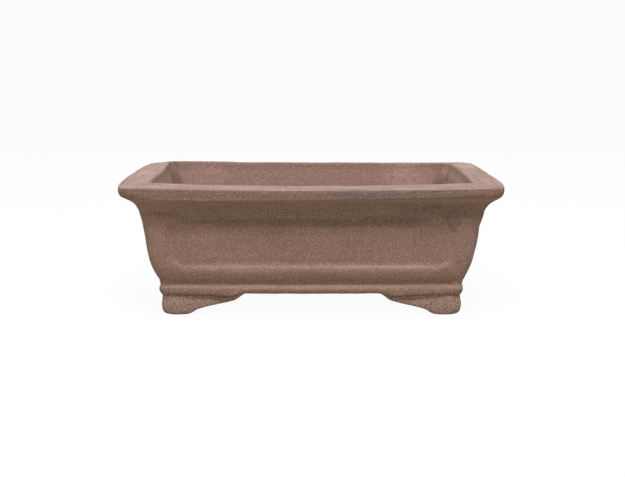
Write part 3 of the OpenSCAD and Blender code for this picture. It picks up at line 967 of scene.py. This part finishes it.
def foot_half(wing, short):
    """The loops of one half of a foot, from the middle of its corner to the wing's tip."""
    stops = np.concatenate([np.arange(0, 14, 0.8), np.arange(14, wing + WING_LAP + 0.01, 0.7)])
    return np.array([foot_loop(s, wing, short * fade(s, 22.0, 38.0)) for s in stops])


def foot(name, node, sign_x, sign_y, short):
    """A foot swept round its corner, from the tip of one wing to the tip of the other.
    short is how much sooner the long wing rises at its tip."""
    x_wing = foot_half(WING[0], short)
    y_wing = foot_half(WING[1], 0.0)[..., [1, 0, 2]]
    loops = np.concatenate([x_wing[::-1], y_wing[1:]])
    loops[..., 0] = sign_x * (HALF[0] - FOOT_INSET - loops[..., 0])
    loops[..., 1] = sign_y * (HALF[1] - FOOT_INSET - loops[..., 1])
    if sign_x * sign_y < 0:
        loops = loops[::-1]
    loops = settle(loops)
    loops[..., 2] = np.maximum(loops[..., 2], 0.0)
    points = loops.transpose(1, 0, 2)
    closed = np.concatenate([points[-1:], points, points[:1]])
    shade = grid_normals(closed, False)[1:-1].transpose(1, 0, 2)
    last = len(FOOT_SECTION) - 1
    hidden = [j == last for j in range(len(FOOT_SECTION))]
    finish_piece(loft(name, loops, shade, hidden, FOOT_CLAY), node)


for y_name, sign_y in (("front", -1), ("back", 1)):
    for x_name, sign_x in (("left", -1), ("right", 1)):
        short = SHORT_WING if (x_name, y_name) == ("right", "front") else 0.0
        foot(f"foot_{y_name}_{x_name}_clay", f"foot_{y_name}_{x_name}", sign_x, sign_y, short)

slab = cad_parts["floor_slab"]
slab.data.materials.clear()
slab.data.materials.append(BODY_CLAY)

# ---- Camera ----

FRONT_LIP_TOP = 71.5
CAMERA_RIGHT, CAMERA_AHEAD, CAMERA_ABOVE = 0.6, 517.9, 67.4  # from the middle of the front arris
CAMERA_PITCH = math.radians(10.18)  # downwards
LENS = 59.2  # focal length on a sensor 36 mm wide


def add_camera():
    data = bpy.data.cameras.new("camera")
    data.sensor_width = 36.0
    data.lens = LENS
    data.clip_end = 50.0
    camera = bpy.data.objects.new("camera", data)
    camera.location = (
        CAMERA_RIGHT * MM,
        (LOW[1] - CAMERA_AHEAD) * MM,
        (FRONT_LIP_TOP + CAMERA_ABOVE) * MM,
    )
    camera.rotation_euler = (math.pi / 2 - CAMERA_PITCH, 0, 0)
    bpy.context.scene.collection.objects.link(camera)
    bpy.context.scene.camera = camera


add_camera()

# ---- Paper floor and backdrop ----

PAPER_RADIUS, PAPER_HEIGHT = 4, 5
RING = 32  # corners round the floor


def paper_material():
    material = bpy.data.materials.new("paper_floor")
    n = Nodes(material)
    diffuse = n.add("ShaderNodeBsdfDiffuse", {"Color": rgb(0.04, 0.04, 0.04)})
    glow = n.add("ShaderNodeEmission", {"Color": rgb(1, 1, 1), "Strength": 0.955})
    both = n.add("ShaderNodeAddShader", {0: diffuse.outputs[0], 1: glow.outputs[0]})
    n.add("ShaderNodeOutputMaterial", {"Surface": both.outputs[0]})
    return material


def paper(name, points, faces, material):
    """A sheet of white paper that the pot's own shading doesn't see."""
    mesh = bpy.data.meshes.new(name)
    mesh.from_pydata(points, [], faces)
    mesh.materials.append(material)
    obj = bpy.data.objects.new(name, mesh)
    bpy.context.scene.collection.objects.link(obj)
    obj.visible_diffuse = False
    obj.visible_glossy = False


def ring_at(height):
    turns = [2 * math.pi * k / RING for k in range(RING)]
    return [(PAPER_RADIUS * math.cos(turn), PAPER_RADIUS * math.sin(turn), height) for turn in turns]


PAPER = paper_material()
paper("floor", ring_at(0), [tuple(range(RING))], PAPER)
BACKDROP = [(k, k + RING, (k + 1) % RING + RING, (k + 1) % RING) for k in range(RING)]
paper("backdrop", ring_at(0) + ring_at(PAPER_HEIGHT), BACKDROP, PAPER)

# ---- Light ----


def add_sky():
    """A dim, even sky, warmer and brighter from below."""
    world = bpy.data.worlds.new("studio")
    bpy.context.scene.world = world
    n = Nodes(world)
    height = n.split(n.add("ShaderNodeTexCoord").outputs["Generated"])[2]
    strength = n.ramp(height, -0.15, 0.15, 0.42, 0.12)
    tint = n.blend(n.ramp(height, -0.15, 0.15), rgb(1.0, 0.90, 0.72), rgb(1.0, 1.0, 1.0))
    sky = n.add("ShaderNodeBackground", {"Color": tint, "Strength": strength})
    n.add("ShaderNodeOutputWorld", {"Surface": sky.outputs[0]})


def softbox(name, elevation, distance, size, level):
    """A soft light in front of the pot, raised by elevation degrees. level is about how brightly
    it lights white paper that faces it."""
    light = bpy.data.lights.new(name, "AREA")
    light.shape = "RECTANGLE"
    light.size, light.size_y = size
    light.energy = level * math.pi**2 * distance**2
    obj = bpy.data.objects.new(name, light)
    aim = Vector((0, 0, 0.04))
    angle = math.radians(elevation)
    obj.location = aim + distance * Vector((0, -math.cos(angle), math.sin(angle)))
    obj.rotation_euler = (aim - obj.location).to_track_quat("-Z", "Y").to_euler()
    bpy.context.scene.collection.objects.link(obj)


add_sky()
softbox("key", 56.0, 1.4, (1.3, 0.32), 0.90)
softbox("overhead", 88.0, 1.3, (1.2, 0.8), 0.66)
softbox("front_fill", 8.0, 1.8, (2.0, 0.9), 0.44)

view = bpy.context.scene.view_settings
view.view_transform = "Standard"
view.look = "None"
